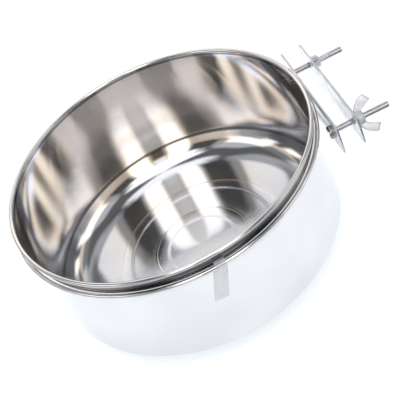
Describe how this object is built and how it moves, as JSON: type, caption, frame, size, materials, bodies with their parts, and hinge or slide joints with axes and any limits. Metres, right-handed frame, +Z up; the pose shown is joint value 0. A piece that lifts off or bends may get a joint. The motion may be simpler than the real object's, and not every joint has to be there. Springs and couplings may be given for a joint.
{
  "type": "clamp-on bird feeder cup",
  "caption": "Polished steel feeder cup that lifts out of a wire ring; a two-plate clamp with bolts and wing nuts fixes the ring to cage wires.",
  "frame": {"origin": "centre of the cup's underside, on the plane that the cup stands on", "axes": "+Z up along the cup's axis, +X from the cup's centre out along the clamp's bolts, +Y along the clamp's plates"},
  "size_m": [0.2272, 0.1928, 0.083],
  "materials": {
    "mirror_steel": "mirror-polished stainless sheet, fine spinning marks on the floor",
    "wire_steel": "bright drawn stainless wire",
    "plate_steel": "bright rolled strip",
    "bolt_steel": "bright machined thread",
    "nut_steel": "tumbled bright casting",
    "clear_film": "clear plastic strip, slightly hazy"
  },
  "bodies": {
    "holder": {"holder_ring": "wire_steel", "back_plate": "plate_steel", "bolt_front": "bolt_steel", "bolt_rear": "bolt_steel", "retaining_strip": "clear_film"},
    "cup": {"bowl": "mirror_steel"},
    "jaw": {"clamp_plate": "plate_steel"},
    "nut_front": {"wing_nut_front": "nut_steel"},
    "nut_rear": {"wing_nut_rear": "nut_steel"}
  },
  "joints": [
    {"name": "cup_lift", "type": "slide", "parent": "holder", "child": "cup", "axis": [0, 0, 1], "range_m": [-0.0055, 0.08]},
    {"name": "jaw_slide", "type": "slide", "parent": "holder", "child": "jaw", "axis": [1, 0, 0], "range_m": [-0.011, 0.015]},
    {"name": "nut_front_turn", "type": "hinge", "parent": "jaw", "child": "nut_front", "pos_m": [0.1105, -0.0325, 0.06535], "axis": [1, 0, 0], "range_deg": [-5660, 7720]},
    {"name": "nut_rear_turn", "type": "hinge", "parent": "jaw", "child": "nut_rear", "pos_m": [0.1105, 0.0325, 0.06535], "axis": [1, 0, 0], "range_deg": [-5660, 7720]}
  ],
  "couplings": [
    {"joint": "nut_front_turn", "follows": "jaw_slide", "rad_per_m": 8976},
    {"joint": "nut_rear_turn", "follows": "jaw_slide", "rad_per_m": 8976}
  ]
}
